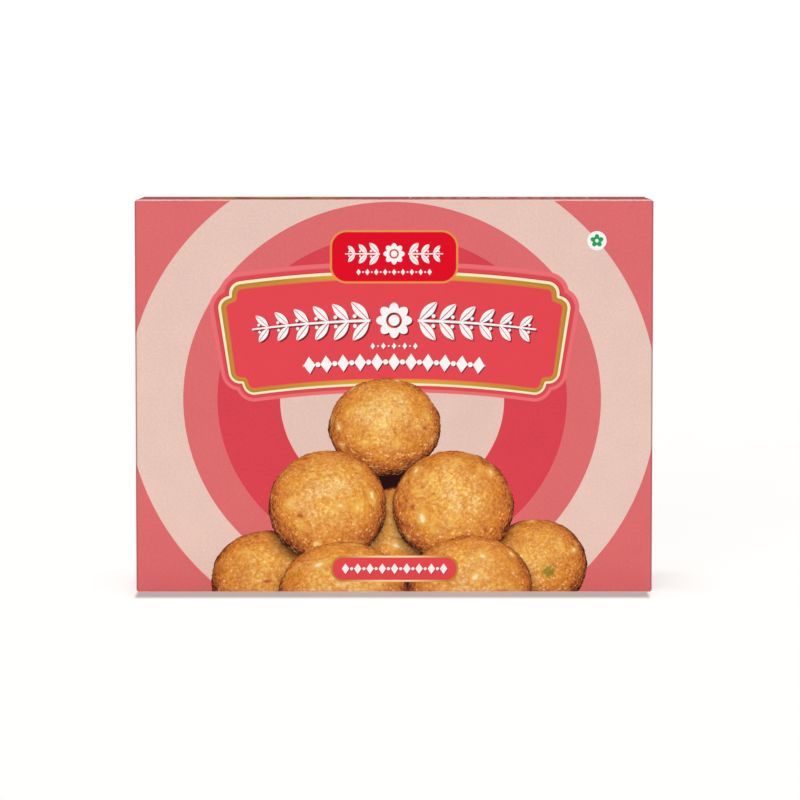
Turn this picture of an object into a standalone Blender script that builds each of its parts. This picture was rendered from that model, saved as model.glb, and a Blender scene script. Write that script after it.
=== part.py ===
"""A shut folding carton of printed paperboard, standing on its long narrow side.

Metres, +Z up. The origin is the middle of the base. The printed front panel faces -Y
and the two tuck ends face -X and +X. The carton is shut and filled, so it is one solid.
"""

import math

import bmesh
import bpy

# Driving sizes of the shut carton.
WIDTH = 0.210            # X, end to end
DEPTH = 0.050            # Y, front to back
HEIGHT = 0.160           # Z, base to top

# The board that it is folded from.
BOARD = 0.00045          # thickness of the paperboard
CREASE_RADIUS = 0.0006   # outer radius of a pressed and folded crease
CREASE_STEPS = 4         # flats round a quarter turn of a crease
FLAP_STEP = 0.0007       # an end panel stops this short of the top and of the base

OVERRUN = 0.004          # how far a cutter runs past the carton

PRINT_COLOUR = (0.70, 0.155, 0.155, 1.0)
VARNISH_ROUGHNESS = 0.42

FRONT = -DEPTH / 2
BACK = DEPTH / 2
END = WIDTH / 2


def clear_objects():
    """Empty the scene, so that the script gives the same model each time."""
    for old in list(bpy.data.objects):
        bpy.data.objects.remove(old, do_unlink=True)


def printed_board():
    """Coral print under a satin varnish."""
    material = bpy.data.materials.new("printed_board")
    material.use_nodes = True
    shader = material.node_tree.nodes["Principled BSDF"]
    shader.inputs["Base Color"].default_value = PRINT_COLOUR
    shader.inputs["Roughness"].default_value = VARNISH_ROUGHNESS
    shader.inputs["Metallic"].default_value = 0.0
    return material


def new_object(name, bm):
    """Turn a bmesh into an object with its faces pointing out."""
    bmesh.ops.recalc_face_normals(bm, faces=bm.faces)
    mesh = bpy.data.meshes.new(name)
    bm.to_mesh(mesh)
    bm.free()
    made = bpy.data.objects.new(name, mesh)
    bpy.context.scene.collection.objects.link(made)
    return made


def is_fold(edge):
    """True for the block's edges that are folds of the board.

    Along X these are the two front edges and the upper back edge. The lower back edge is
    the glued seam, where the base panel ends in a cut edge. The end panels are hinged on
    the back panel, so the two upright back edges are folds too.
    """
    first, second = edge.verts[0].co, edge.verts[1].co
    middle = (first + second) / 2
    along_x = abs(first.x - second.x) > WIDTH / 2
    upright = abs(first.z - second.z) > HEIGHT / 2
    seam = middle.y > 0 and middle.z < HEIGHT / 2
    return (along_x and not seam) or (upright and middle.y > 0)


def folded_block(name):
    """The carton's outer block with its folds rounded."""
    bm = bmesh.new()
    bmesh.ops.create_cube(bm, size=1.0)
    bmesh.ops.scale(bm, vec=(WIDTH, DEPTH, HEIGHT), verts=bm.verts)
    bmesh.ops.translate(bm, vec=(0.0, 0.0, HEIGHT / 2), verts=bm.verts)
    bmesh.ops.bevel(
        bm,
        geom=[edge for edge in bm.edges if is_fold(edge)],
        offset=CREASE_RADIUS,
        offset_type="OFFSET",
        segments=CREASE_STEPS,
        profile=0.5,
        affect="EDGES",
    )
    return new_object(name, bm)


def prism_cutter(name, outline, push):
    """A cutter: a flat outline of 3-D points, pushed along a vector."""
    bm = bmesh.new()
    face = bm.faces.new([bm.verts.new(point) for point in outline])
    pushed = bmesh.ops.extrude_face_region(bm, geom=[face])
    far_side = [item for item in pushed["geom"] if isinstance(item, bmesh.types.BMVert)]
    bmesh.ops.translate(bm, vec=push, verts=far_side)
    cutter = new_object(name, bm)
    cutter.hide_render = True
    cutter.display_type = "WIRE"
    return cutter


def tuck_gap():
    """Section of the gap where a fold turns in behind another panel's cut edge.

    Points are (across, out). Across is 0 at the cut panel's inner face, out is 0 at the
    carton's surface, and the fold is a quarter round that starts on the surface.
    """
    section = [(CREASE_RADIUS, OVERRUN)]
    for step in range(CREASE_STEPS + 1):
        turn = math.pi / 2 * (1 + step / CREASE_STEPS)
        across = CREASE_RADIUS * (1 + math.cos(turn))
        out = CREASE_RADIUS * (math.sin(turn) - 1)
        section.append((across, out))
    section.append((0.0, OVERRUN))
    return section


def end_gap_cutter(side):
    """The tuck line of one end, just inside the front panel; side is -1 or 1."""
    outline = [
        (side * (END + out), FRONT + BOARD + across, -OVERRUN)
        for across, out in tuck_gap()
    ]
    return prism_cutter("end_gap", outline, (0.0, 0.0, HEIGHT + 2 * OVERRUN))


def seam_cutter():
    """The glued seam: the back panel turns in above the base panel's cut edge."""
    start = -END - OVERRUN
    outline = [(start, BACK + out, BOARD + across) for across, out in tuck_gap()]
    return prism_cutter("seam_gap", outline, (WIDTH + 2 * OVERRUN, 0.0, 0.0))


def flap_step_cutter(side, low, high):
    """The strip between an end panel's side edge and the fold of the flap below it."""
    inner = side * (END - BOARD)
    outer = side * (END + OVERRUN)
    start = FRONT - OVERRUN
    outline = [(inner, start, low), (outer, start, low), (outer, start, high), (inner, start, high)]
    return prism_cutter("flap_step", outline, (0.0, DEPTH + 2 * OVERRUN, 0.0))


def cut(body, cutter):
    """Take a cutter out of the body, in the order given."""
    modifier = body.modifiers.new(cutter.name, "BOOLEAN")
    modifier.operation = "DIFFERENCE"
    modifier.solver = "EXACT"
    modifier.object = cutter


def main():
    clear_objects()
    carton = folded_block("carton")
    carton.data.materials.append(printed_board())
    cut(carton, seam_cutter())
    for side in (-1, 1):
        cut(carton, end_gap_cutter(side))
        cut(carton, flap_step_cutter(side, -OVERRUN, FLAP_STEP))
        cut(carton, flap_step_cutter(side, HEIGHT - FLAP_STEP, HEIGHT + OVERRUN))


main()
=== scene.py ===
# %% [markdown]
# # A shut folding carton for sweets
#
# This lesson builds a printed paperboard carton the way a carton maker does: a flat sheet
# is creased and folded round the contents, and its print is laid out panel by panel. The
# shut carton is opaque, so nothing inside it is made.

# %% The fixed frame that everything is built round
import math

import bmesh
import bpy
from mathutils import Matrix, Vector


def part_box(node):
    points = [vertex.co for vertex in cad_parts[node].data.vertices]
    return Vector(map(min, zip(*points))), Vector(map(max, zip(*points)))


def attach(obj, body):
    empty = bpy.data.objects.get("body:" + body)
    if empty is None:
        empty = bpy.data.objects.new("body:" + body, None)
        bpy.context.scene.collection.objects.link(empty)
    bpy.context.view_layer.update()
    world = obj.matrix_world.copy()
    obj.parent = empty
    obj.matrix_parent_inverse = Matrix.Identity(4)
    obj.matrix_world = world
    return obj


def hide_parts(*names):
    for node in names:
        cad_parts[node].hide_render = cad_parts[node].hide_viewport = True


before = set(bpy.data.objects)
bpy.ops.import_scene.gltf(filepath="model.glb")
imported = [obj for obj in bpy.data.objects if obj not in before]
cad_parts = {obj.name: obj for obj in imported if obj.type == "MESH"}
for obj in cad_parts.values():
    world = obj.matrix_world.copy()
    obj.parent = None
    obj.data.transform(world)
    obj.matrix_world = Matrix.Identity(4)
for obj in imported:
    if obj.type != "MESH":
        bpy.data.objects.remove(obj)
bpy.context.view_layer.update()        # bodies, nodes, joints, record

low, high = (Vector(corner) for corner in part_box("carton"))
print("carton from", tuple(low), "to", tuple(high))

# %% [markdown]
# ## Sizes of the board
#
# The outer size comes from the frame. The rest are a carton maker's own numbers: how thick
# the board is, how tightly it folds, and how much room a flap needs beside its neighbour.
# All lengths of the mesh are in metres, and `MM` turns a millimetre into metres.

# %% Board and fold sizes
MM = 0.001
WIDTH, DEPTH, HEIGHT = high - low
BOARD = 0.45 * MM        # thickness of the folding board
CREASE = 0.6 * MM        # outer radius of a pressed crease
SLIP = 0.05 * MM         # air between two layers that lie on each other
RELIEF = 1.5 * MM        # a dust flap is cut this far inside the panels beside it
FLAP_STEP = 0.1 * MM     # the end panel starts this far past the creases beside it
GLUE_FLAP = 14 * MM
TONGUE = 13 * MM         # the part of the end panel that tucks in
DUST_FLAP = 30 * MM

FRONT, BACK = low.y, high.y
END = high.x
print(f"board {BOARD / MM:.2f} mm round {WIDTH:.3f} x {DEPTH:.3f} x {HEIGHT:.3f} m")

# %% [markdown]
# ## Folding by walking
#
# Paperboard doesn't stretch, so every point of the carton is a distance along the flat
# sheet. A folded edge could be modelled as a box with a bevel, but then flaps, seams and
# print would each need their own fitting. Here one function walks along the board instead:
# straight for the length of a panel, then round a quarter turn, then straight again. It
# gives the place and the direction of the board's inner side, and all the rest follows.

# %% A walk along straight panels and quarter-turn creases
QUARTER = math.pi / 2
FOLD = CREASE * QUARTER  # length of board in one crease


def unit(angle):
    """The direction at an angle, in a plane."""
    return Vector((math.cos(angle), math.sin(angle)))


def walk(distance, runs, start=(0.0, 0.0), heading=0.0):
    """Place and inner side after a distance along runs that are joined by right turns."""
    place = Vector(start)
    for number, run in enumerate(runs):
        straight = min(distance, run)
        place = place + unit(heading) * straight
        distance -= straight
        if distance <= 0.0 or number == len(runs) - 1:
            break
        turn = min(distance / CREASE, QUARTER)
        centre = place + unit(heading - QUARTER) * CREASE
        heading -= turn
        place = centre - unit(heading - QUARTER) * CREASE
        distance -= turn * CREASE
        if distance <= 0.0:
            break
    return place, unit(heading - QUARTER)


print(f"one crease takes {FOLD / MM:.2f} mm of board")

# %% [markdown]
# ## The wrap
#
# Four panels go round the contents: base, front, top and back. A fifth, the glue flap,
# turns in above the base panel, whose cut edge shows as a thin line low on the back.
# `wrap_point` is the walk in the plane across the carton.

# %% Panels round the contents
WRAP = {
    "base": DEPTH - CREASE,
    "front": HEIGHT - 2 * CREASE,
    "top": DEPTH - 2 * CREASE,
    "back": HEIGHT - 2 * CREASE - BOARD - SLIP,
    "glue": GLUE_FLAP,
}
RUNS = list(WRAP.values())


def run_start(name):
    """Distance along the wrap at which a panel's flat part starts."""
    before = list(WRAP)[:list(WRAP).index(name)]
    return sum(WRAP[panel] + FOLD for panel in before)


def wrap_point(distance, x=0.0):
    """A point on the outside of the wrap, and the direction to its inner side."""
    place, inner = walk(distance, RUNS, (BACK, low.z), math.pi)
    return Vector((x, *place)), Vector((0.0, *inner))


for panel in WRAP:
    print(panel, "starts", round(run_start(panel) / MM, 1), "mm along the sheet")

# %% [markdown]
# ## Rows and columns
#
# The sheet is a grid, so that it can bow a little like real board. Rows are close together
# in a crease, and one extra row runs beside each crease, which keeps the smooth shading of
# the fold from spreading over the flat panel.

# %% Where the rows and columns of a flat stretch lie
SPACING = 5 * MM
BESIDE = 0.4 * MM
CREASE_STEPS = 6


def flat_stations(start, length, *special):
    """Distances over a flat stretch: its ends, a line beside each, and an even spread."""
    fixed = [start, start + BESIDE, start + length - BESIDE, start + length, *special]
    count = round(length / SPACING)
    spread = [start + length * step / count for step in range(1, count)]
    free = [value for value in spread if min(abs(value - other) for other in fixed) > BESIDE]
    return sorted(fixed + free)


def fold_stations(start):
    """Distances round one crease."""
    return [start + FOLD * step / CREASE_STEPS for step in range(CREASE_STEPS + 1)]


# Distances from the middle of the carton, along X, at which something starts at an end.
DUST_HINGE = END - BOARD - SLIP - CREASE   # the dust flaps fold, under the end panel
END_HINGE = END - CREASE                   # the end panel folds
PANEL_EDGE = END - BOARD                   # the cut edge beside a flap
MARGIN = [DUST_HINGE, END_HINGE, PANEL_EDGE]
COLUMNS = flat_stations(-DUST_HINGE, 2 * DUST_HINGE)
print(len(COLUMNS), "columns across the wrap")

# %% [markdown]
# ## Laying the sheet
#
# Each stretch of board is laid as its own grid of faces. A grid's `spot` function answers
# for one row and column: the place, the direction to the inner side, and where that spot is
# on the panel's own drawing, in millimetres from the middle of the panel. Grids that meet
# share places exactly, so they can be merged afterwards into one sheet.

# %% A grid of board
sheet = bmesh.new()
INNER = sheet.verts.layers.float_vector.new("inner_side")
PRINT = sheet.loops.layers.uv.new("print_mm")
PANELS = ["front", "top", "back", "base", "left_end", "right_end", "tucked_in"]


def lay_grid(panel, rows, columns, spot):
    """Add faces between rows and columns; the print's place goes to the face corners."""
    spots = [[spot(row, column) for column in columns] for row in rows]
    verts = []
    for line in spots:
        verts.append([sheet.verts.new(place) for place, inner, drawn in line])
        for vert, (place, inner, drawn) in zip(verts[-1], line):
            vert[INNER] = inner
    here, inner, drawn = spots[0][0]
    facing = (spots[0][1][0] - here).cross(spots[1][0][0] - here).dot(inner)
    for r in range(len(rows) - 1):
        for c in range(len(columns) - 1):
            ring = [(r, c), (r, c + 1), (r + 1, c + 1), (r + 1, c)]
            if facing > 0:           # the faces look away from the board's inner side
                ring.reverse()
            face = sheet.faces.new([verts[i][j] for i, j in ring])
            face.material_index = PANELS.index(panel)
            for loop, (i, j) in zip(face.loops, ring):
                loop[PRINT].uv = spots[i][j][2]


print("panels with a drawing of their own:", ", ".join(PANELS))

# %% [markdown]
# ## Bow
#
# A filled carton is never quite flat: its panels swell a little between the folds, while
# the folds stay straight. The base bows in, so that the carton stands on its folds.

# %% How far each panel swells
BOW = {"front": 0.30 * MM, "top": 0.12 * MM, "back": 0.35 * MM, "base": -0.10 * MM}


def bowed(place, inner, across, along, amount):
    """Push a point outward; across and along run from -1 to 1 over the panel."""
    swell = max(0.0, 1 - across ** 2) * max(0.0, 1 - along ** 2)
    return place - inner * (amount * swell)


def wrap_spot(panel):
    """The spot function for a panel of the wrap."""
    middle = run_start(panel) + WRAP[panel] / 2
    seen_from_behind = -1 if panel == "back" else 1

    def spot(row, column):
        place, inner = wrap_point(row, column)
        along = (row - middle) / (WRAP[panel] / 2)
        place = bowed(place, inner, column / DUST_HINGE, along, BOW[panel])
        drawn = Vector((column, row - middle)) * (seen_from_behind / MM)
        return place, inner, drawn

    return spot


print(f"the front swells by {BOW['front'] / MM:.2f} mm")

# %% [markdown]
# Flat panels and folds are laid in turn. Each fold is split down its middle, so that the
# drawing of one panel ends where the next begins. The front panel's short sides are cut
# edges, which run out to the full length, while the others stop short beside the flaps.

# %% The four panels and their folds
def mirrored(columns):
    """The same columns at the other end, in rising order."""
    return [-column for column in reversed(columns)]


HUNG_ROWS = {}           # for each panel with flaps, the rows that they hang on
for panel in ("base", "front", "top", "back"):
    start, length = run_start(panel), WRAP[panel]
    if panel == "front":
        rows = flat_stations(start, length)
        strips = [(rows, MARGIN + [END])]
    else:
        clear = FLAP_STEP if panel == "back" else RELIEF
        limits = (start + clear, start + length - clear)
        rows = flat_stations(start, length, *limits)
        first, last = (rows.index(limit) for limit in limits)
        HUNG_ROWS[panel] = rows[first:last + 1]
        strips = [(rows[:first + 1], MARGIN), (rows[last:], MARGIN)]
        if panel == "back":
            strips.append((HUNG_ROWS[panel], MARGIN[:2]))
    lay_grid(panel, rows, COLUMNS, wrap_spot(panel))
    for some_rows, columns in strips:
        lay_grid(panel, some_rows, columns, wrap_spot(panel))
        lay_grid(panel, some_rows, mirrored(columns), wrap_spot(panel))

FULL = mirrored(MARGIN)[:-1] + COLUMNS + MARGIN[1:]
for before, after in (("base", "front"), ("front", "top"), ("top", "back")):
    rows = fold_stations(run_start(after) - FOLD)
    half = CREASE_STEPS // 2
    lay_grid(before, rows[:half + 1], FULL, wrap_spot(before))
    lay_grid(after, rows[half:], FULL, wrap_spot(after))
print(len(sheet.faces), "faces in the wrap so far")

# %% [markdown]
# ## Flaps
#
# A flap is the same walk again, in the plane that leaves a panel through its short side.
# Its rows are the rows of the panel that it hangs on. A flap gets narrower towards its
# free end, so each row moves a little towards the middle of the flap: by how much is given
# by an `inset` function, which also rounds the corners.

# %% One flap of board
def rounded_inset(distance, length, slant, radius):
    """How far a flap's side has moved in: a straight slant, then a round corner."""
    into_corner = max(0.0, distance - (length - radius))
    drop = radius - math.sqrt(max(0.0, radius ** 2 - into_corner ** 2))
    return distance * slant + drop


def flap_spot(panel, side, hinge, runs, rows, inset, drawn_at, spring=0.0):
    """The spot function for a flap at one end (side is -1 or 1) of a wrap panel."""
    middle = (rows[0] + rows[-1]) / 2
    half = (rows[-1] - rows[0]) / 2
    out = Vector((side, 0.0, 0.0))
    swell = 0.15 * MM if len(runs) > 2 else 0.0

    def spot(row, column):
        row = middle + (row - middle) * (half - inset(column)) / half
        place, inner = wrap_point(row)
        reach, flap_inner = walk(column, runs)
        place = place + out * (hinge + reach.x) - inner * reach.y
        inward = out * flap_inner.x - inner * flap_inner.y
        flat = min(1.0, max(0.0, (column - FOLD) / runs[1]))
        place = place + out * (spring * flat)
        place = bowed(place, inward, 2 * flat - 1, (row - middle) / half, swell)
        return place, inward, drawn_at(row, column)

    return spot


print("a corner of 5 mm takes off", rounded_inset(9.0, 10.0, 0.0, 5.0), "mm, 1 mm from the end")

# %% [markdown]
# The two end panels hang on the back panel. Each crosses the end of the carton, folds again
# and tucks in behind the front panel with a tongue. Board is springy, so the free side of an
# end panel stands a hair proud of the front panel's cut edge.

# %% The end panels and their tongues
END_RUNS = [0.0, DEPTH - 2 * CREASE - BOARD - SLIP, TONGUE]
TONGUE_START = END_RUNS[1] + 2 * FOLD
SPRING = {-1: 0.20 * MM, 1: 0.15 * MM}
TONGUE_SLANT = 0.04
TONGUE_CORNER = 9 * MM
SHOULDER = 0.6 * MM      # the tongue is this much narrower than the panel, each side


def end_inset(column):
    """The end panel keeps its width, and the tongue after it is narrower."""
    past = column - TONGUE_START
    if past <= 0.0:
        return 0.0
    return SHOULDER + rounded_inset(past, TONGUE, TONGUE_SLANT, TONGUE_CORNER)


back_middle = run_start("back") + WRAP["back"] / 2
end_middle = FOLD + END_RUNS[1] / 2
for side, name in ((-1, "left_end"), (1, "right_end")):

    def on_back(row, column, side=side):
        return Vector((-side * (END_HINGE + column), back_middle - row)) / MM

    def on_end(row, column, side=side):
        return Vector((side * (end_middle - column), back_middle - row)) / MM

    hinge_fold = fold_stations(0.0)
    crossing = flat_stations(FOLD, END_RUNS[1]) + fold_stations(FOLD + END_RUNS[1])[1:]
    tucked = [TONGUE_START + value for value in flat_stations(0.0, TONGUE)]
    rounding = [TONGUE_START + TONGUE - TONGUE_CORNER * (1 - math.sin(step * QUARTER / 6))
                for step in range(1, 6)]
    tucked = sorted(tucked + rounding)
    half = CREASE_STEPS // 2
    for panel, columns, drawn_at in (
        ("back", hinge_fold[:half + 1], on_back),
        (name, hinge_fold[half:-1] + crossing, on_end),
        ("tucked_in", tucked, on_end),
    ):
        spot = flap_spot(panel, side, END_HINGE, END_RUNS, HUNG_ROWS["back"], end_inset,
                         drawn_at, SPRING[side])
        lay_grid(panel, HUNG_ROWS["back"], columns, spot)
print("end panels cross", round(END_RUNS[1] / MM, 2), "mm and tuck in", TONGUE / MM, "mm")

# %% [markdown]
# Dust flaps fold in from the top and from the base, under the end panel. Only their folds
# show, as a soft edge beside the end panel. The glue flap turns in at the foot of the back.

# %% Dust flaps and the glue flap
DUST_RUNS = [0.0, DUST_FLAP]
DUST_SLANT = 0.14
DUST_CORNER = 5 * MM
GLUE_SLANT = 0.35
GLUE_NOTCH = 3 * MM


def dust_inset(column):
    """A dust flap narrows at once, and its corners are round."""
    return rounded_inset(max(0.0, column - FOLD), DUST_FLAP, DUST_SLANT, DUST_CORNER)


def glue_spot(row, column):
    """The glue flap's ends are cut back, so that they stay clear of the dust flaps."""
    past = max(0.0, row - run_start("glue"))
    cut_back = min(past / BESIDE, 1.0) * GLUE_NOTCH + past * GLUE_SLANT
    place, inner = wrap_point(row, column * (1 - cut_back / DUST_HINGE))
    return place, inner, Vector((column, row)) / MM


def tucked_place(row, column):
    """Where a hidden flap's plain print lies."""
    return Vector((column, row)) / MM


for panel in ("base", "top"):
    rows = HUNG_ROWS[panel]
    columns = fold_stations(0.0)[:-1] + flat_stations(FOLD, DUST_FLAP)
    for side in (-1, 1):
        spot = flap_spot(panel, side, DUST_HINGE, DUST_RUNS, rows, dust_inset, tucked_place)
        lay_grid("tucked_in", rows, columns, spot)

glue_fold = fold_stations(run_start("glue") - FOLD)
lay_grid("back", glue_fold, COLUMNS, wrap_spot("back"))
lay_grid("tucked_in", flat_stations(run_start("glue"), GLUE_FLAP), COLUMNS, glue_spot)
print(len(sheet.faces), "faces in the whole sheet")

# %% [markdown]
# ## From a sheet to board
#
# Merging the shared places makes one sheet. For its thickness every point gets a partner
# on the inner side, every face a partner that looks the other way, and the cut edges a rim.
# A Solidify modifier could do this, but here the inner side is known exactly at every
# point, so the board is equally thick in the folds too.

# %% Merge, then add the thickness
bmesh.ops.remove_doubles(sheet, verts=sheet.verts, dist=0.001 * MM)
INSIDE = len(PANELS)
CUT_EDGE = INSIDE + 1
outer_faces = list(sheet.faces)
cut_edges = [edge for edge in sheet.edges if edge.is_boundary]
partner = {
    vert: sheet.verts.new(vert.co + vert[INNER].normalized() * BOARD)
    for vert in list(sheet.verts)
}
for face in outer_faces:
    lining = sheet.faces.new([partner[vert] for vert in reversed(face.verts)])
    lining.material_index = INSIDE
    drawn = {partner[loop.vert]: loop[PRINT].uv for loop in face.loops}
    for loop in lining.loops:
        loop[PRINT].uv = drawn[loop.vert]
for edge in cut_edges:
    loop = edge.link_loops[0]
    first, second = loop.vert, loop.link_loop_next.vert
    rim = sheet.faces.new([second, first, partner[first], partner[second]])
    rim.material_index = CUT_EDGE
    for corner, vert in zip(rim.loops, (second, first, first, second)):
        across = 0.0 if corner.vert is vert else BOARD
        corner[PRINT].uv = ((vert.co.x + vert.co.y + vert.co.z) / MM, across / MM)
open_edges = [edge for edge in sheet.edges if not edge.is_manifold]
print(len(sheet.faces), "faces,", len(cut_edges), "cut edges,", len(open_edges), "open")

# %% [markdown]
# ## The piece
#
# The sheet becomes one mesh object in the place of the frame's carton. It is shaded
# smoothly round the folds, and sharply at the cut edges of the board.

# %% Make the mesh object
def placed(name, data):
    """A new object in the scene."""
    made = bpy.data.objects.new(name, data)
    bpy.context.scene.collection.objects.link(made)
    return made


mesh = bpy.data.meshes.new("sweets_carton")
sheet.to_mesh(mesh)
sheet.free()
mesh.shade_smooth()
mesh.set_sharp_from_angle(angle=math.radians(40))
carton = placed("sweets_carton", mesh)
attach(carton, "root")
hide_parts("carton")
print(len(mesh.polygons), "polygons")

# %% [markdown]
# ## One flat layout for the whole print
#
# An exported copy carries its colours in a single square texture, so the panels need a
# flat layout in which none of them overlap. The front gets the most room, as its print is
# the finest. Board that is one plain colour can share a small corner.

# %% Lay the panels out in a square
LAYOUT = 1024
# For each kind of face: texels per mm across and up, and where the panel's middle lies.
ROOM = {
    "front": (3.7, 3.7, 393, 300),
    "top": (2.2, 2.2, 788, 660),
    "back": (2.6, 2.6, 278, 812),
    "base": (2.2, 2.2, 788, 776),
    "left_end": (2.3, 2.3, 847, 187),
    "right_end": (2.3, 2.3, 965, 187),
    "tucked_in": (0.35, 0.35, 620, 866),
    "inside": (0.35, 0.35, 720, 866),
    "cut_edge": (0.5, 20.0, 860, 860),
}
SLOTS = list(ROOM)
layout = mesh.uv_layers.new(name="OFBake")
drawn_map = mesh.uv_layers["print_mm"]
for face in mesh.polygons:
    across, up, middle_x, middle_y = ROOM[SLOTS[face.material_index]]
    for corner in face.loop_indices:
        drawn = drawn_map.uv[corner].vector
        spot = (middle_x + drawn.x * across, middle_y + drawn.y * up)
        layout.uv[corner].vector = (spot[0] / LAYOUT, spot[1] / LAYOUT)
mesh.uv_layers.active = drawn_map
print("the front is laid out at", ROOM["front"][0], "texels per mm")

# %% [markdown]
# ## Arithmetic with sockets
#
# The print is drawn by shader nodes, which keep every edge sharp from close by. So many
# nodes can't be read one by one, so a `Wire` stands for an output socket and takes part in
# ordinary arithmetic: writing `a * b + 1` adds the two Math nodes that work it out.

# %% Wires between nodes
class Wire:
    """An output socket that can be added, multiplied and so on."""

    def __init__(self, socket):
        self.socket = socket

    def __add__(self, other):
        return calc("ADD", self, other)

    def __sub__(self, other):
        return calc("SUBTRACT", self, other)

    def __rsub__(self, other):
        return calc("SUBTRACT", other, self)

    def __mul__(self, other):
        return calc("MULTIPLY", self, other)

    def __truediv__(self, other):
        return calc("DIVIDE", self, other)

    def __abs__(self):
        return calc("ABSOLUTE", self)

    __radd__ = __add__
    __rmul__ = __mul__


print("a wire takes part in +, -, *, / and abs()")

# %% [markdown]
# A new node goes beside the one that its values come from, and its inputs are fed in order
# with wires or with plain numbers. `calc` is the one that all the arithmetic goes through.

# %% New nodes and what feeds them
def host_of(values):
    """The node tree that the wires among some values belong to."""
    return next(value.socket.id_data for value in values if isinstance(value, Wire))


def join(socket, value):
    """Feed an input with a wire, or set it to a number, a colour or a vector."""
    if isinstance(value, Wire):
        socket.id_data.links.new(value.socket, socket)
    elif socket.type == "VECTOR" and isinstance(value, (int, float)):
        socket.default_value = (value, value, value)
    else:
        socket.default_value = value


def is_triple(value):
    """True for a wire that carries a vector or a colour."""
    return isinstance(value, Wire) and value.socket.type in ("VECTOR", "RGBA")


def feed(node, values):
    """Feed a node's inputs in order."""
    for socket, value in zip(node.inputs, values):
        join(socket, value)
    return node


def new_node(kind, *values):
    """A new node beside the one that its values come from."""
    return feed(host_of(values).nodes.new("ShaderNode" + kind), values)


def calc(operation, *values, clamp=False):
    """A Math node, or a Vector Math node where a value is a vector or a colour."""
    triple = any(is_triple(value) for value in values)
    node = new_node("VectorMath" if triple else "Math", *values)
    node.operation = operation
    if clamp:
        node.use_clamp = True
    single = not triple or operation in ("LENGTH", "DOT_PRODUCT")
    return Wire(node.outputs["Value" if single else "Vector"])


print("arithmetic ready")

# %% [markdown]
# A place on the print is a vector of two numbers and a zero. It is often taken apart,
# changed and put together again. Colours are mixed, or printed over one another as on a
# press: the ink that comes last lies on top.

# %% Vectors and layers of ink
def split(vector):
    """The three numbers of a vector."""
    return [Wire(socket) for socket in new_node("SeparateXYZ", vector).outputs]


def combine(x, y, z=0.0):
    """A vector from three numbers."""
    return Wire(new_node("CombineXYZ", x, y, z).outputs[0])


def mix(kind, amount, first, second):
    """A Mix node between two colours (kind RGBA) or two vectors (kind VECTOR)."""
    node = host_of([amount, first, second]).nodes.new("ShaderNodeMix")
    node.data_type = kind
    ending = "Color" if kind == "RGBA" else "Vector"
    inputs = {socket.identifier: socket for socket in node.inputs}
    join(inputs["Factor_Float"], amount)
    join(inputs["A_" + ending], first)
    join(inputs["B_" + ending], second)
    outputs = {socket.identifier: socket for socket in node.outputs}
    return Wire(outputs["Result_" + ending])


def over(mask, under, upper):
    """Print one colour over another where a mask is 1."""
    return mix("RGBA", mask, under, upper)


print("vectors and inks ready")

# %% [markdown]
# ## Edges and colours of ink
#
# Every shape of the print is a distance that is negative inside the shape. `below` turns
# it into a mask with an edge as soft as real printing, about a tenth of a millimetre.
# Inks are written as they look on a screen, 0 to 255, and turned into linear colours.

# %% Masks and inks
SOFT = 0.12


def below(value, edge=0.0, soft=SOFT):
    """A mask that is 1 where the value lies below the edge."""
    if isinstance(edge, Wire):
        value, edge = value - edge, 0.0
    return calc("MULTIPLY_ADD", value, -1 / soft, edge / soft + 0.5, clamp=True)


def bands(distance, colour, *inks):
    """Print inks over a colour from the outside in, each given as (edge, softness, ink)."""
    for edge, soft, upper in inks:
        colour = over(below(distance, edge, soft), colour, upper)
    return colour


def ink(red, green, blue):
    """A linear colour from screen values."""
    def linear(value):
        value /= 255
        return value / 12.92 if value <= 0.04045 else ((value + 0.055) / 1.055) ** 2.4
    return (linear(red), linear(green), linear(blue), 1.0)


CORAL_TOP = ink(222, 108, 110)
CORAL_FOOT = ink(218, 107, 108)
PALE = ink(231, 199, 187)
HEART_PALE = ink(226, 196, 183)
DEEP_RED = ink(215, 66, 78)
FIELD_RED = ink(227, 70, 79)
WHITE = ink(248, 246, 244)
ORNAMENT_SHADE = ink(84, 20, 30)
print("coral ink", [round(part, 3) for part in CORAL_TOP[:3]])

# %% [markdown]
# ## Node groups
#
# A shape that several panels carry becomes a node group with named sockets. `node_group`
# builds one from a short recipe, and from then on the recipe's name places that group in
# whichever material needs it.

# %% How a recipe becomes a group
VECTOR, FLOAT, COLOUR = "NodeSocketVector", "NodeSocketFloat", "NodeSocketColor"


def node_group(title, inputs, outputs):
    """Build a node group by running a recipe on wires from its inputs."""
    def build(recipe):
        tree = bpy.data.node_groups.new(title, "ShaderNodeTree")
        for direction, sockets in (("INPUT", inputs), ("OUTPUT", outputs)):
            for name, kind in sockets.items():
                tree.interface.new_socket(name=name, in_out=direction, socket_type=kind)
        entry = tree.nodes.new("NodeGroupInput")
        results = recipe(*[Wire(entry.outputs[name]) for name in inputs])
        feed(tree.nodes.new("NodeGroupOutput"),
             [results] if isinstance(results, Wire) else results)
        print(title, "has", len(tree.nodes), "nodes")

        def place_group(*values):
            node = host_of(values).nodes.new("ShaderNodeGroup")
            node.node_tree = tree
            wires = [Wire(socket) for socket in feed(node, values).outputs]
            return wires[0] if len(wires) == 1 else wires

        return place_group
    return build


# %% [markdown]
# ## Rings
#
# Broad rings in coral, pale pink and red lie behind everything, centred on the panel and
# a little wider than tall. One distance from the middle serves all four edges. The rings
# are printed with a faint mottle, like old paper.

# %% The target of broad rings
def texture(kind, place, size):
    """A texture node with patches or cells of about a size, in mm."""
    node = new_node("Tex" + kind, place)
    node.inputs["Scale"].default_value = 1 / size
    return node


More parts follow.
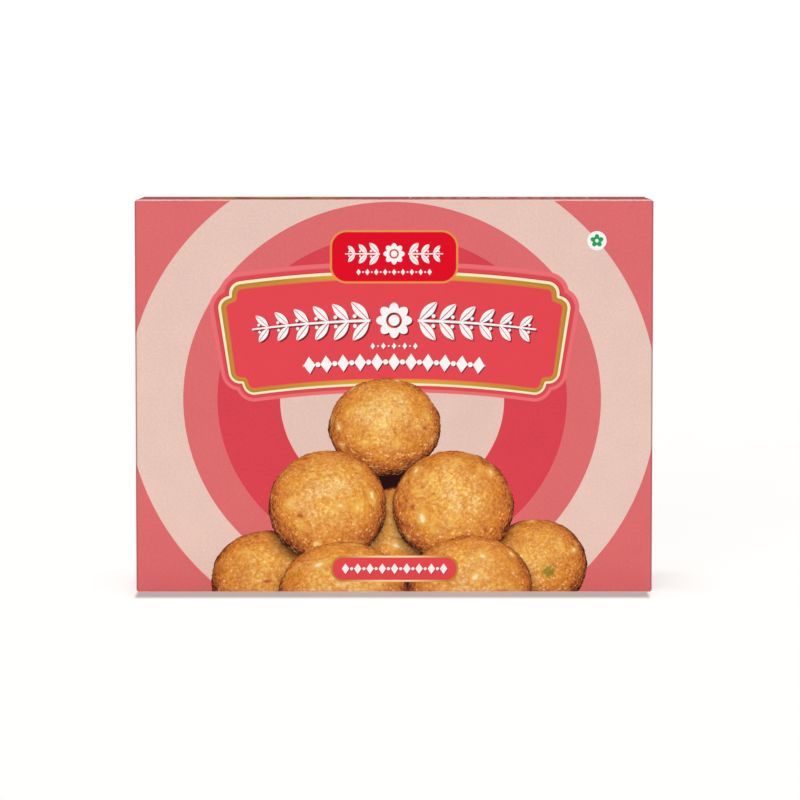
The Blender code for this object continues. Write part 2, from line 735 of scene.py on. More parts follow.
def noise(place, size, detail=2.0, roughness=0.5):
    """Cloudy noise from 0 to 1."""
    node = texture("Noise", place, size)
    node.inputs["Detail"].default_value = detail
    node.inputs["Roughness"].default_value = roughness
    return Wire(node.outputs[0])


RING_SQUASH = 0.9455
OUTER_RING = 107.6       # half widths, mm
CORAL_RING = 84.9
RED_RING = 71.0
HEART = 45.5


@node_group("broad_rings", {"Place": VECTOR, "Size": FLOAT}, {"Colour": COLOUR})
def broad_rings(place, size):
    reach = calc("LENGTH", place * (1.0, 1 / RING_SQUASH, 0.0)) / size
    height = split(place)[1]
    coral = mix("RGBA", calc("MULTIPLY_ADD", height, 1 / 160, 0.5, clamp=True),
                CORAL_FOOT, CORAL_TOP)
    colour = bands(reach, coral, (OUTER_RING, SOFT, PALE), (CORAL_RING, SOFT, coral),
                   (RED_RING, SOFT, DEEP_RED), (HEART, SOFT, HEART_PALE))
    mottle = noise(place, 1.0, 3.0, 0.7) * 0.30 + noise(place, 16.0, 2.0) * 0.10
    return colour * (mottle + 0.80)


print("rings reach", OUTER_RING, CORAL_RING, RED_RING, "and", HEART, "mm to each side")

# %% [markdown]
# ## Plaque
#
# Labels and plaques are boxes with round corners. A box could be tested for inside and
# outside only, but a true distance to its edge also gives lines that run along the edge.

# %% Boxes with round corners
def box_distance(x, y, half_width, half_height, corner):
    """Distance to the edge of a box with round corners."""
    beyond_x = abs(x) - half_width + corner
    beyond_y = abs(y) - half_height + corner
    outside = calc("LENGTH", combine(calc("MAXIMUM", beyond_x, 0.0),
                                     calc("MAXIMUM", beyond_y, 0.0)))
    inside = calc("MINIMUM", calc("MAXIMUM", beyond_x, beyond_y), 0.0)
    return outside + inside - corner


@node_group("rounded_box",
            {"Place": VECTOR, "Half Width": FLOAT, "Half Height": FLOAT, "Corner": FLOAT},
            {"Distance": FLOAT})
def rounded_box(place, half_width, half_height, corner):
    x, y, _ = split(place)
    return box_distance(x, y, half_width, half_height, corner)


# %% [markdown]
# The title plaque is a box with stepped round corners and bands of ink along its edge:
# pink and red outside, cream and gold inside. The union of a wide and a tall rounded box
# gives the steps. The bands are a little thicker above than below, as on a cast plaque.

# %% The stepped plaque
STEP_ACROSS = 5.1
STEP_UP = 5.3
PLAQUE_CORNER = 4.9
CREAM = ink(254, 236, 194)
GOLD = ink(206, 172, 58)
OLD_GOLD = ink(170, 138, 46)
AMBER = ink(226, 150, 56)
OLD_AMBER = ink(202, 136, 52)
BAND_PINK = ink(233, 111, 115)
BAND_RED = ink(222, 71, 82)
KEY_LINE = ink(196, 66, 72)


@node_group("stepped_plaque",
            {"Place": VECTOR, "Half Width": FLOAT, "Half Height": FLOAT, "Field": COLOUR},
            {"Colour": COLOUR, "Cover": FLOAT})
def stepped_plaque(place, half_width, half_height, field):
    x, y, _ = split(place)
    wide = box_distance(x, y, half_width, half_height - STEP_UP, PLAQUE_CORNER)
    tall = box_distance(x, y, half_width - STEP_ACROSS, half_height, PLAQUE_CORNER)
    depth = calc("MAXIMUM", 0 - calc("MINIMUM", wide, tall), 0.0)
    edge = calc("SMOOTH_MIN", wide, tall, 0.5 + depth * 2.5) / (1 + 0.13 * y / half_height)
    dull = calc("MULTIPLY_ADD", abs(x) / half_width, 2.2, -0.55, clamp=True)
    gold = mix("RGBA", dull, GOLD, OLD_GOLD)
    amber = mix("RGBA", dull, AMBER, OLD_AMBER)
    colour = bands(edge, BAND_PINK, (1.65, 0.5, BAND_RED), (0.35, 0.2, KEY_LINE),
                   (0.0, SOFT, CREAM), (-1.05, 0.2, gold), (-1.85, 0.8, amber),
                   (-3.0, 0.7, field))
    return colour, below(edge, 3.25, 0.3)


def with_plaque(colour, place, half_width, half_height, field):
    """A drawing with a plaque printed over it."""
    plaque, cover = stepped_plaque(place, half_width, half_height, field)
    return over(cover, colour, plaque)


# %% [markdown]
# ## Bent strips
#
# The title plaque and all that stands on it follow a wide arch. `bent` turns a place on
# the panel into a distance along the arch and a height above it, so everything on the
# plaque can be drawn as if it were straight.

# %% Along and above an arch
ARCH_CENTRE = -417.3
ARCH_RADIUS = 445.2


@node_group("bent_strip", {"Place": VECTOR}, {"Strip Place": VECTOR})
def bent(place):
    x, y, _ = split(place)
    rise = y - ARCH_CENTRE
    along = calc("ARCTAN2", x, rise) * ARCH_RADIUS
    above = calc("LENGTH", combine(x, rise)) - ARCH_RADIUS
    return combine(along, above)


# %% [markdown]
# ## Ornament
#
# Ornament repeats. `folded` folds the plane onto one cell, so that one leaf is enough for a
# whole row of them. A flower is a circle whose radius swells and shrinks round its middle.

# %% Repeats and petals
def folded(value, pitch):
    """The place inside a repeated cell, from -pitch/2 to pitch/2."""
    return value - calc("ROUND", value / pitch) * pitch


def petals(place, count, radius, waist):
    """Distance to a flower with round petals; its waist is how deep they are cut."""
    x, y, _ = split(place)
    lobe = abs(calc("COSINE", calc("ARCTAN2", x, y) * (count / 2)))
    return calc("LENGTH", place) - radius * (1 - waist + waist * lobe)


print("repeats and petals ready")

# %% [markdown]
# Where a carton would carry its title there is a garland instead: pairs of leaves along a
# stem on both sides of a rosette.

# %% Garland and rosette
STEM_START = 9.2         # lengths are in mm, on a garland of full size
STEM_HALF = 0.55
LEAF_CELL = 8.1
LEAF_ROOT = 3.1          # a leaf starts this far before the middle of its cell
LEAF_LENGTH = 11.0
LEAF_HALF = 2.1
LEAF_LEAN = math.radians(48)
VEIN_HALF = 0.16
TAPER = 0.38             # how much slimmer the garland is at its end
BERRY_ALONG, BERRY_OUT, BERRY_RADIUS = 6.0, 1.9, 0.85
FLOWER_RADIUS, FLOWER_EYE, FLOWER_HEART = 7.2, 3.2, 2.2


@node_group("leaf_garland", {"Place": VECTOR, "Pairs": FLOAT, "Size": FLOAT}, {"Mask": FLOAT})
def leaf_garland(place, pairs, size):
    place = place / size
    x, y, _ = split(place)
    run = abs(x) - STEM_START
    reach = pairs * LEAF_CELL
    slim = 1 - TAPER * run / reach
    along = (folded(run - LEAF_CELL / 2, LEAF_CELL) + LEAF_ROOT) / slim
    out = (abs(y) - 0.2) / slim
    length = along * math.cos(LEAF_LEAN) + out * math.sin(LEAF_LEAN)
    side = out * math.cos(LEAF_LEAN) - along * math.sin(LEAF_LEAN)
    part = calc("MULTIPLY", length, 1 / LEAF_LENGTH, clamp=True)
    leaf = abs(side) - 4 * LEAF_HALF * part * (1 - part)
    vein = VEIN_HALF - abs(side)
    stem = abs(y) - STEM_HALF * slim
    berry = calc("LENGTH", combine(along - BERRY_ALONG, out - BERRY_OUT)) - BERRY_RADIUS
    row = calc("MINIMUM", calc("MAXIMUM", leaf, vein), calc("MINIMUM", stem, berry))
    row = calc("MAXIMUM", row, calc("MAXIMUM", run + 0.4 - reach, 0.4 - run))
    from_middle = calc("LENGTH", place)
    flower = calc("MAXIMUM", petals(place, 8, FLOWER_RADIUS, 0.28), FLOWER_EYE - from_middle)
    heart = from_middle - FLOWER_HEART
    whole = calc("MINIMUM", row, calc("MINIMUM", flower, heart))
    return below(whole * size)


# %% [markdown]
# Lozenges with dots between them make the smaller lines, where a carton has its small print.

# %% Lozenges
@node_group("lozenge_chain", {"Place": VECTOR, "Reach": FLOAT, "Pitch": FLOAT, "Size": FLOAT},
            {"Mask": FLOAT})
def lozenge_chain(place, reach, pitch, size):
    x, y, _ = split(place)
    step = folded(x, pitch)
    lozenge = (abs(step) * 0.85 + abs(y) * 0.6) - size
    between = abs(step) - pitch / 2
    dot = calc("LENGTH", combine(between, y)) - size * 0.5
    row = calc("MINIMUM", lozenge, dot)
    return below(calc("MAXIMUM", row, abs(x) - reach))


# %% [markdown]
# ## Sweets
#
# The print shows a pile of round sweets. Each is painted over those behind it, but only
# its own coordinates are painted: where on the ball this spot lies, and which ball it is.
# The skin is worked out once at the end, for whichever ball is in front. Close to a ball
# the ones behind it are darkened, most of all below it, as their light is blocked there.

# %% One more sweet in front of the others
HALO = 0.18              # how far the darkening reaches beside a sweet, in radii


@node_group("sweet_in_front",
            {"Place": VECTOR, "Wobble": FLOAT, "Centre": VECTOR, "Half Size": VECTOR,
             "Number": FLOAT, "Spot": VECTOR, "Shade": FLOAT, "Cover": FLOAT},
            {"Spot": VECTOR, "Shade": FLOAT, "Cover": FLOAT})
def sweet_in_front(place, wobble, centre, half_size, number, spot, shade, cover):
    local = (place - centre) / half_size
    x, y, _ = split(local)
    reach = calc("LENGTH", local) + wobble
    inside = calc("LESS_THAN", reach, 1.0)
    spot = mix("VECTOR", inside, spot, combine(x, y, number))
    near = calc("SUBTRACT", 1.0, (reach - 1.0) / calc("MULTIPLY_ADD", y, -HALO, HALO), clamp=True)
    near = near * near * calc("MULTIPLY_ADD", y, -0.5, 0.5, clamp=True)
    shade = calc("MAXIMUM", shade, near) * (1 - inside)
    return spot, shade, calc("MAXIMUM", cover, inside)


# %% [markdown]
# The skin is made of granules and chips. A granule is a dot round a scattered point. A
# chip is a small ellipsoid that lies its own way in the ball, so the surface cuts it to a
# shape of its own.

# %% Granules and chips
def ramp(value, stops):
    """Colours along a value, from (place, colour) stops."""
    node = new_node("ValToRGB", value)
    points = node.color_ramp.elements
    while len(points) < len(stops):
        points.new(1.0)
    for point, (position, colour) in zip(points, stops):
        point.position = position
        point.color = colour
    return Wire(node.outputs[0])


def turned(vector, angle):
    """A vector turned about its Z axis."""
    node = new_node("VectorRotate", vector)
    node.rotation_type = "Z_AXIS"
    join(node.inputs["Angle"], angle)
    return Wire(node.outputs[0])


def specks(place, size):
    """Scattered points about a size apart: distance to the nearest, and its own lot."""
    node = texture("Voronoi", place, size)
    lot = split(Wire(node.outputs["Color"]))[0]
    return Wire(node.outputs["Distance"]) * size, lot


def chips(place, spacing, half_size, share):
    """Ellipsoids lying each their own way: how far off their middles, in radii."""
    node = texture("Voronoi", place, spacing)
    lot, way, _ = split(Wire(node.outputs["Color"]))
    off = turned(place - Wire(node.outputs["Position"]), way * 6.3)
    absent = calc("GREATER_THAN", lot, share) * 9.0
    return calc("LENGTH", off / half_size) + absent


print("granules and chips ready")

# %% [markdown]
# Gram flour fried in butter is golden. It is darker towards the rim of the ball and most of
# all low down, so its colour follows the light along a ramp of browns and golds.

# %% Colours of the skin
BALL = 20.0              # nominal radius, mm
SKIN = [                 # from the dark rim to the lit middle
    (0.00, ink(56, 14, 5)), (0.12, ink(118, 50, 20)), (0.30, ink(180, 99, 42)),
    (0.42, ink(202, 120, 49)), (0.57, ink(218, 142, 61)), (0.69, ink(228, 159, 77)),
    (0.80, ink(238, 184, 104)), (1.00, ink(254, 226, 160)),
]
GRANULE = ink(252, 208, 140)
BUTTER = ink(242, 192, 92)
NUT = ink(255, 236, 196)
CRUMB_RED = ink(170, 66, 42)
GREEN = ink(112, 122, 34)
FROM_ABOVE, FROM_FRONT = 0.20, 0.76    # how much of the light comes from each side
DEEP_SWEET = 0           # the one deep in the pile, dark along its top
DARK_ABOVE, DARK_SOFT = 0.88, 0.1      # from where on its top is dark, in radii
OUTER_SWEETS = 2.5       # the two at the sides are numbers 2 and 3, a little dimmer
GREEN_SWEET = 3          # the one that carries a bit of green
GREEN_SPOT = (0.25, -0.13, 0.96)
GAP = ink(34, 2, 3)
print(len(SKIN), "colours from rim to middle")

# %% [markdown]
# Fine pale granules, slivers of nut, red-brown crumbs and one bit of green lie in the
# golden skin. All of it is looked up on the round surface, so it closes up towards the rim
# as on a real ball.

# %% The skin of a sweet
@node_group("sweet_skin", {"Spot": VECTOR, "Shade": FLOAT}, {"Colour": COLOUR})
def sweet_skin(spot, shade):
    x, y, number = split(spot)
    facing = calc("SQRT", calc("MAXIMUM", 1 - x * x - y * y, 0.0))
    ball = combine(x, y, facing)
    light = calc("MULTIPLY_ADD", y, FROM_ABOVE, facing * FROM_FRONT)
    light = light - calc("COMPARE", number, OUTER_SWEETS, 0.6) * 0.06
    dark_top = calc("COMPARE", number, DEEP_SWEET, 0.5) * below(0 - y, -DARK_ABOVE, DARK_SOFT)
    light = light - dark_top * 0.45
    lit = calc("MULTIPLY_ADD", light, 2.4, -0.3, clamp=True)
    skin = turned(ball * BALL, number * 1.7) + combine(number * 37.0, 0.0, number * 5.0)
    patches = noise(skin, 6.5, 2.5, 0.6) - 0.5
    grain = noise(skin, 1.3, 2.5, 0.75) - 0.5
    colour = ramp(light + patches * 0.45 + grain * 1.0, SKIN)
    tone = noise(skin + 90.0, 6.5, 2.0)
    colour = colour * mix("RGBA", below(tone, 0.5, 0.25), (0.97, 0.96, 1.06, 1.0),
                          (1.03, 1.05, 0.84, 1.0))
    distance, lot = specks(skin, 1.25)
    crowding = calc("MULTIPLY_ADD", y, -0.14, patches * 0.4 - light * 0.30 - 0.43)
    granule = below(distance, (lot + crowding) * 1.2, 0.25)
    colour = over(granule * (lit * 0.5 + 0.2), colour, GRANULE)
    sliver = chips(skin + noise(skin, 2.0) * 2.2, 7.5, (2.3, 1.2, 1.6), 0.5)
    colour = over(below(sliver, 1.45, 1.5) * lit * 0.7, colour, BUTTER)
    colour = over(below(sliver, 0.6, 0.5) * lit * 0.9, colour, NUT)
    crumb = chips(skin + noise(skin, 0.9) * 1.6 + 40.0, 7.5, (1.5, 0.8, 1.2), 0.5)
    colour = over(below(crumb, 0.95, 0.9) * 0.8, colour, CRUMB_RED)
    green = calc("LENGTH", ball - GREEN_SPOT) + grain * 0.45 + patches * 0.2
    green = below(green, 0.11, 0.16) * calc("COMPARE", number, GREEN_SWEET, 0.5)
    colour = over(green * 0.75, colour, GREEN)
    return over(shade, colour, GAP)


# %% [markdown]
# A pile is painted from the back: first the dark gap between the sweets, then one sweet
# after the other. Each is a little out of round, as sweets are rolled by hand.

# %% A pile of sweets
def pile(place, gap, sweets, first=0):
    """Paint sweets from back to front over a dark gap: their colour and their cover."""
    wobble = (noise(place, 11.0) - 0.5) * 0.08 + (noise(place, 1.3) - 0.5) * 0.04
    gap_x, gap_y, half_width, half_height = gap
    hollow = (place - (gap_x, gap_y, 0.0)) / (half_width, half_height, 1.0)
    spot, shade, cover = (0.0, 0.0, 0.0), 1.0, below(calc("LENGTH", hollow), 1.0, 0.02)
    for number, (x, y, half_width, half_height) in enumerate(sweets, first):
        spot, shade, cover = sweet_in_front(
            place, wobble, (x, y, 0.0), (half_width, half_height, 1.0), float(number),
            spot, shade, cover)
    return sweet_skin(spot, shade), cover


print("a sweet is about", 2 * BALL, "mm across")

# %% [markdown]
# ## Board, wear and painted light at the edges
#
# Coated board takes ink evenly, yet its fibres leave a fine mottle, and where it is folded
# the ink stretches and lets the pale board through in a thin broken line. That pale line is
# also a painted highlight, where the fold would catch the light, and the front's cut sides
# and foot are darkened by painted shade.

# %% Paper grain, worn and lit folds, shaded cut edges
@node_group("paper_grain", {"Place": VECTOR}, {"Tint": FLOAT, "Height": FLOAT})
def paper_grain(place):
    fibre = noise(place * (1.0, 1.6, 1.0), 0.9, 3.0, 0.7)
    cloud = noise(place, 14.0, 2.0)
    return 1 + (fibre - 0.5) * 0.08 + (cloud - 0.5) * 0.03, fibre


@node_group("edge_wear_and_light",
            {"Place": VECTOR, "Side": FLOAT, "Top": FLOAT, "Foot": FLOAT, "Cut": FLOAT},
            {"Worn And Lit": FLOAT, "Shaded Edge": FLOAT})
def edge_wear_and_light(place, side, top, foot, cut):
    x, y, _ = split(place)
    fold = calc("MINIMUM", side - abs(x), calc("MINIMUM", top - y, foot + y))
    broken = noise(place, 2.2, 3.0)
    # pale along the folds: partly ink worn through, partly a painted highlight of the fold
    worn_and_lit = below(fold, 0.2 + broken * 0.35, 0.2) * (0.7 + broken * 0.6)
    # the front's cut sides: painted shade, where the rounded edge would turn away from the light
    return worn_and_lit, below(cut - abs(x), 0.5, 0.5) * 0.8


# %% [markdown]
# A printed panel is a Principled material: ink under a satin varnish, with so little shine
# that a broad light leaves no veil on it. Pale folds, partly worn and partly a painted
# highlight, and cut edges darkened by painted shade lie over the drawing, and the fibre
# gives a faint bump.

# %% A printed panel
def printed(name):
    """A material, with the wire to the place on its panel's drawing."""
    material = bpy.data.materials.new(name)
    material.use_nodes = True
    drawn = material.node_tree.nodes.new("ShaderNodeUVMap")
    drawn.uv_map = "print_mm"
    return material, Wire(drawn.outputs[0])


# pale folds: ink worn through, and a painted highlight
FOLD_WEAR_AND_HIGHLIGHT = ink(255, 208, 200)
# painted shade, for the front's cut sides and its foot
EDGE_SHADE = ink(158, 90, 96)
FAR = 1000.0             # an edge that a panel doesn't have


def fold_beside(length):
    """From the middle of a panel to the middle of the fold beside it, in mm."""
    return (length + FOLD) / 2 / MM


def finish(material, place, colour, side=FAR, top=FAR, foot=FAR, cut=FAR):
    """Give a drawn panel its edge wear with painted highlight and painted shade, grain and satin
    varnish.
    """
    nodes = material.node_tree.nodes
    shader = nodes["Principled BSDF"]
    tint, height = paper_grain(place)
    worn_and_lit, shaded_edge = edge_wear_and_light(place, side, top, foot, cut)
    colour = over(shaded_edge, over(worn_and_lit, colour, FOLD_WEAR_AND_HIGHLIGHT), EDGE_SHADE)
    join(shader.inputs["Base Color"], colour * tint)
    join(shader.inputs["Roughness"], 0.52 + (height - 0.5) * 0.2)
    shader.inputs["Specular IOR Level"].default_value = 0.06
    bump = nodes.new("ShaderNodeBump")
    bump.inputs["Strength"].default_value = 0.25
    bump.inputs["Distance"].default_value = 0.02 * MM
    join(bump.inputs["Height"], height)
    join(shader.inputs["Normal"], Wire(bump.outputs["Normal"]))
    mesh.materials.append(material)


print("the middle of a fold is", round(fold_beside(0.0), 2), "mm beside a panel")

# %% [markdown]
# ## The front panel
#
# The front is painted from the back forwards. First come the rings, and the plaque with its
# garland and two lines of lozenges, all along the arch. White ornament gets a thin dark
# shade below and to the right, which lifts it off the red.

# %% Rings, plaque and garland of the front
def raised(colour, pattern, place, *sizes, shift=0.6):
    """White ornament with its dark shade."""
    behind = pattern(place - (shift, -shift, 0.0), *sizes)
    colour = over(behind * 0.85, colour, ORNAMENT_SHADE)
    return over(pattern(place, *sizes), colour, WHITE)


front, place = printed("print_front")
colour = broad_rings(place + (0.8, 1.2, 0.0), 1.0)
strip = bent(place)
colour = with_plaque(colour, strip - (0.1, -0.1, 0.0), 69.65, 23.25, FIELD_RED)
colour = raised(colour, leaf_garland, strip - (0.0, 3.1, 0.0), 6.0, 1.0)
colour = raised(colour, lozenge_chain, strip - (0.0, -7.3, 0.0), 10.0, 4.4, 0.8, shift=0.25)
colour = raised(colour, lozenge_chain, strip - (0.0, -13.8, 0.0), 38.2, 7.1, 2.1, shift=0.4)
print("rings, plaque and garland:", len(front.node_tree.nodes), "nodes so far")

# %% [markdown]
# A plain red label with a gilt rim stands above the plaque, and a round white spot with a
# small green flower beside it, high up on the right.

# %% Label and flower
LABEL_RED = ink(224, 0, 32)
RIM_GOLD = ink(226, 150, 78)
LEAF_GREEN = ink(30, 160, 90)
label_place = place - (0.0, 56.8, 0.0)
label_edge = rounded_box(label_place, 25.2, 10.0, 6.0)
colour = bands(label_edge, colour, (0.8, 0.3, RIM_GOLD), (0.0, SOFT, LABEL_RED))
colour = over(leaf_garland(label_place - (0.0, 1.2, 0.0), 3.0, 0.60), colour, WHITE)
colour = over(lozenge_chain(label_place - (0.0, -6.2, 0.0), 15.3, 3.6, 0.75), colour, WHITE)

flower_place = place - (82.2, 63.3, 0.0)
colour = over(below(calc("LENGTH", flower_place), 3.9), colour, WHITE)
blossom = calc("MAXIMUM", petals(flower_place, 5, 2.7, 0.4), 0.7 - calc("LENGTH", flower_place))
colour = over(below(blossom), colour, LEAF_GREEN)
print("with label and flower:", len(front.node_tree.nodes), "nodes so far")

# %% [markdown]
# The pile of sweets covers the plaque's lower edge, and last comes the pill-shaped ribbon
# low in the middle. The foot of the panel is darkened by painted shade, where the carton stands.

# %% Sweets and ribbon
FRONT_SWEETS = [         # from back to front: middle across and up, half width, half height
    (6.0, -56.0, 21.0, 20.5),
    (-3.75, -12.4, 22.8, 19.9),
    (-52.3, -75.5, 22.3, 20.6),
    (57.9, -69.0, 20.7, 18.9),
    (-27.1, -44.9, 23.9, 23.0),
    (24.0, -45.0, 24.6, 22.9),
    (-20.7, -79.7, 26.3, 20.3),
    (31.0, -78.3, 25.2, 21.7),
]
RIBBON_RED = ink(227, 71, 78)
RIBBON_GOLD = ink(188, 138, 50)
RIBBON_LINE = ink(255, 222, 172)
sweets, cover = pile(place, (-1.0, -60.0, 38.0, 32.0), FRONT_SWEETS)
colour = over(cover, colour, sweets)

ribbon_place = place - (0.2, -70.4, 0.0)
ribbon_edge = rounded_box(ribbon_place, 25.2, 4.6, 4.2)
gilt = mix("RGBA", below(abs(split(ribbon_place)[0]), 13.0, 16.0), RIBBON_GOLD, RIBBON_LINE)
colour = bands(ribbon_edge, colour, (0.75, 0.35, gilt), (0.0, SOFT, RIBBON_RED))
colour = raised(colour, lozenge_chain, ribbon_place, 21.6, 5.0, 1.3, shift=0.25)
foot = split(place)[1] + fold_beside(WRAP["front"])
# painted shade along the foot of the front, where the fold turns under
colour = over(below(foot, 0.3, 0.8) * 0.6, colour, EDGE_SHADE)
finish(front, place, colour, top=fold_beside(WRAP["front"]), cut=END / MM)
print("front:", len(front.node_tree.nodes), "nodes at the top level")

# %% [markdown]
# ## The other panels
#
# The rest of the carton carries the same few shapes in other sizes. The top has a row of
# sweets and a small plaque under a faint greyish veil of painted sheen.

# %% Draw the top
# the colour of a painted sheen on the top panel
TOP_SHEEN = ink(204, 204, 214)
top, place = printed("print_top")
colour = broad_rings(place - (0.0, -90.0, 0.0), 0.62)
plaque_place = place - (43.0, 0.0, 0.0)
colour = with_plaque(colour, plaque_place, 37.0, 14.0, FIELD_RED)
colour = raised(colour, leaf_garland, plaque_place, 4.0, 0.72, shift=0.3)
sweets, cover = pile(place, (-50.0, -6.0, 20.0, 10.0), [
    (-69.0, -3.0, 14.8, 14.0),
    (-31.0, -3.5, 14.4, 13.8),
    (-50.0, 1.0, 15.2, 14.6),
], first=4)
colour = over(cover, colour, sweets)
# a faint greyish veil of painted sheen over the top
colour = over(noise(place, 9.0) * 0.1, colour, TOP_SHEEN)
finish(top, place, colour, top=fold_beside(WRAP["top"]), foot=fold_beside(WRAP["top"]))
print("top:", len(top.node_tree.nodes), "nodes")

# %% [markdown]
# The back carries one large pale plaque with a garland over two lines of lozenges. The
# base is plain but for a pale box.

# %% Draw the back and the base
back, place = printed("print_back")
colour = with_plaque(broad_rings(place, 1.0), place, 82.0, 56.0, PALE)
colour = over(leaf_garland(place - (0.0, 34.0, 0.0), 7.0, 1.0), colour, DEEP_RED)
for height in (-18.0, -38.0):
    line_place = place - (0.0, height, 0.0)
    colour = over(lozenge_chain(line_place, 57.8, 7.0, 1.5), colour, DEEP_RED)
finish(back, place, colour, side=(END_HINGE + FOLD / 2) / MM, top=fold_beside(WRAP["back"]),
       foot=fold_beside(WRAP["back"]))

base, place = printed("print_base")
colour = broad_rings(place - (0.0, 130.0, 0.0), 0.62)
colour = over(below(rounded_box(place, 52.0, 13.0, 4.0)), colour, PALE)
colour = over(lozenge_chain(place, 36.8, 7.0, 1.5), colour, DEEP_RED)
finish(base, place, colour, top=fold_beside(WRAP["base"]))
print("back:", len(back.node_tree.nodes), "nodes, base:", len(base.node_tree.nodes), "nodes")

# %% [markdown]
# Each end has a tall plaque on smaller rings. Its drawing is turned a quarter, so that the
# garland runs up the end.

# %% Draw the ends
for name in ("left_end", "right_end"):
    end, place = printed("print_" + name)
    across, above, _ = split(place)
    sideways = combine(above, 0.0 - across)
    colour = with_plaque(broad_rings(place, 0.72), sideways, 58.0, 15.5, FIELD_RED)
    colour = raised(colour, leaf_garland, sideways, 5.0, 0.92, shift=0.4)
    finish(end, place, colour, side=fold_beside(END_RUNS[1]))
    print(name + ":", len(end.node_tree.nodes), "nodes")

# %% [markdown]
# Hidden flaps are plain coral. The inner side of the board is unprinted grey-white, and
# its cut edges show the layers of fibre that it is pressed from.

# %% Flaps, inner side and cut edges
LAYERS = 12.0            # the cut edge's mottle is pressed this much flatter
for name, size, detail, press, darker, lighter in (
    ("print_tucked_in", 30.0, 2.0, 1.0, CORAL_FOOT, CORAL_TOP),
    ("board_inside", 3.0, 4.0, 1.0, ink(198, 190, 180), ink(214, 208, 199)),
    ("board_cut_edge", 1.2, 2.0, LAYERS, ink(214, 190, 176), ink(238, 226, 214)),
):
    plain, place = printed(name)
    mottle = noise(place * (1.0, press, 1.0), size, detail)
    finish(plain, place, mix("RGBA", mottle, darker, lighter))
print([material.name for material in mesh.materials])

# %% [markdown]
# ## Floor and studio
#
# The carton stands on a large white sheet that runs on into a white studio.

# %% The floor sheet
FLOOR_HALF = 6.0
floor_sheet = bmesh.new()
bmesh.ops.create_grid(floor_sheet, x_segments=12, y_segments=12, size=FLOOR_HALF)
floor_mesh = bpy.data.meshes.new("floor")
floor_sheet.to_mesh(floor_mesh)
floor_sheet.free()
floor = placed("floor", floor_mesh)
floor.location = (0.0, 0.0, low.z)
print("floor", FLOOR_HALF * 2, "m across")

# %% [markdown]
# The sheet is a little luminous, like one lit from below, so that it stays white to the
# eye. Its glow is dimmed under the carton and close beside it: a painted contact shadow
# in front of the carton and a faint painted shade beside it.

# %% The glow of the sheet
CONTACT_SHADOW = 19.0           # the painted contact shadow reaches this far in front of the carton, mm
# how much the painted contact shadow dims the glow
CONTACT_SHADOW_DIM = 0.61
SHADE_REACH = 40.0       # the faint shade beside the carton fades out over this, mm
SHADE_DIM = 0.2
GLOW = 0.60              # what the sheet gives to the carton
GLOW_SEEN = 0.27         # and how much brighter it looks to the eye
floor_paper = bpy.data.materials.new("floor_paper")
floor_paper.use_nodes = True
nodes = floor_paper.node_tree.nodes
shader = nodes["Principled BSDF"]
spread = Wire(nodes.new("ShaderNodeTexCoord").outputs["Object"])
mottle = noise(spread, 0.05, 3.0)
seen = Wire(nodes.new("ShaderNodeLightPath").outputs["Is Camera Ray"])
paper = mix("RGBA", mottle, ink(232, 232, 232), ink(238, 238, 238))
join(shader.inputs["Base Color"], paper * (1 - 0.6 * seen))
shader.inputs["Roughness"].default_value = 0.9
shader.inputs["Specular IOR Level"].default_value = 0.1
spread = spread / MM
x, y, _ = split(spread)
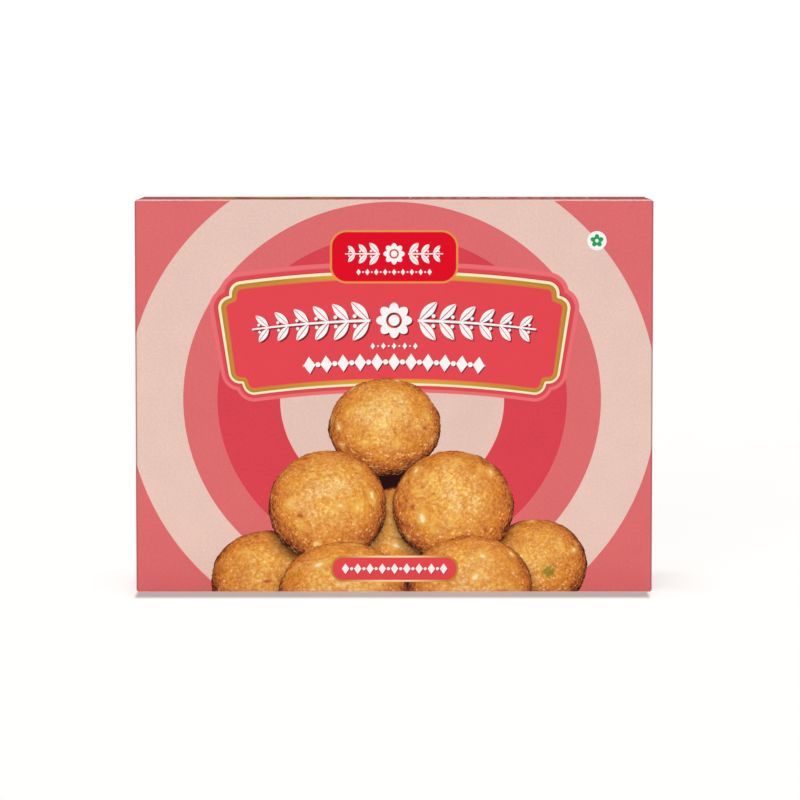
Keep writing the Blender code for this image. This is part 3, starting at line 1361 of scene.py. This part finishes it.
# painted shadow: the glow is dimmed in a band along the front and in a faint shade beside the
# carton
contact_shadow = below(abs(y - FRONT / MM), CONTACT_SHADOW, 9.0) * below(abs(x + 0.7), END / MM - 1.0, 1.5)
beside = rounded_box(spread - (5.0, 13.0, 0.0), 100.0, 20.0, 5.0)
shade = calc("MULTIPLY_ADD", beside, -1 / SHADE_REACH, 1.0, clamp=True)
painted_shade = calc("MAXIMUM", contact_shadow * CONTACT_SHADOW_DIM, shade * shade * SHADE_DIM)
glow = mix("RGBA", painted_shade * (seen * 0.7 + 0.3), WHITE, (0.0, 0.0, 0.0, 1.0))
join(shader.inputs["Emission Color"], glow)
join(shader.inputs["Emission Strength"], GLOW + GLOW_SEEN * seen)
floor_mesh.materials.append(floor_paper)
print("the sheet glows", GLOW, "and looks", round(GLOW + GLOW_SEEN, 2), "to the eye")

# %% [markdown]
# The studio has one broad light in front, a little to the left, and one high up behind,
# which gives the top its light and the soft line of shadow under the front. Both are suns
# with a wide disc: their light doesn't fall off, so the floor stays evenly white.

# %% World and lights
world = bpy.data.worlds.new("studio")
bpy.context.scene.world = world
world.use_nodes = True
nodes = world.node_tree.nodes
seen = Wire(nodes.new("ShaderNodeLightPath").outputs["Is Camera Ray"])
AMBIENT = 0.18           # what the white walls give to the carton
BACKDROP = 1.05          # how bright they look to the eye
nodes["Background"].inputs["Color"].default_value = (1.0, 1.0, 1.0, 1.0)
join(nodes["Background"].inputs["Strength"], seen * (BACKDROP - AMBIENT) + AMBIENT)


def broad_light(name, azimuth, elevation, strength, disc):
    """Soft parallel light; azimuth is from the front, towards +X, both in degrees."""
    light = bpy.data.lights.new(name, "SUN")
    light.energy = strength
    light.angle = math.radians(disc)
    holder = placed(name, light)
    turn, rise = math.radians(azimuth), math.radians(elevation)
    source = Vector((math.sin(turn) * math.cos(rise), -math.cos(turn) * math.cos(rise),
                     math.sin(rise)))
    holder.location = source * 2
    holder.rotation_euler = source.to_track_quat("Z", "Y").to_euler()
    print(name, "comes from", tuple(round(part, 2) for part in source))


broad_light("front_light", -14.0, 15.0, 1.27, 30.0)
broad_light("high_light", 175.0, 84.0, 0.95, 4.0)

# %% [markdown]
# ## Camera
#
# A long lens looks at the front from a little above its top edge, so that the front shows
# square-on with only a sliver of the top.

# %% The camera
DISTANCE = 1.586         # from the front panel
camera_data = bpy.data.cameras.new("camera")
camera_data.lens = 176.1
camera = placed("camera", camera_data)
camera.location = (0.0, FRONT - DISTANCE, 0.198)
aim = Vector((0.00244, 0.0, 0.0767))
camera.rotation_euler = (aim - camera.location).to_track_quat("-Z", "Y").to_euler()
bpy.context.scene.camera = camera
bpy.context.scene.view_settings.view_transform = "Standard"
print("the camera stands", DISTANCE, "m in front of the panel")
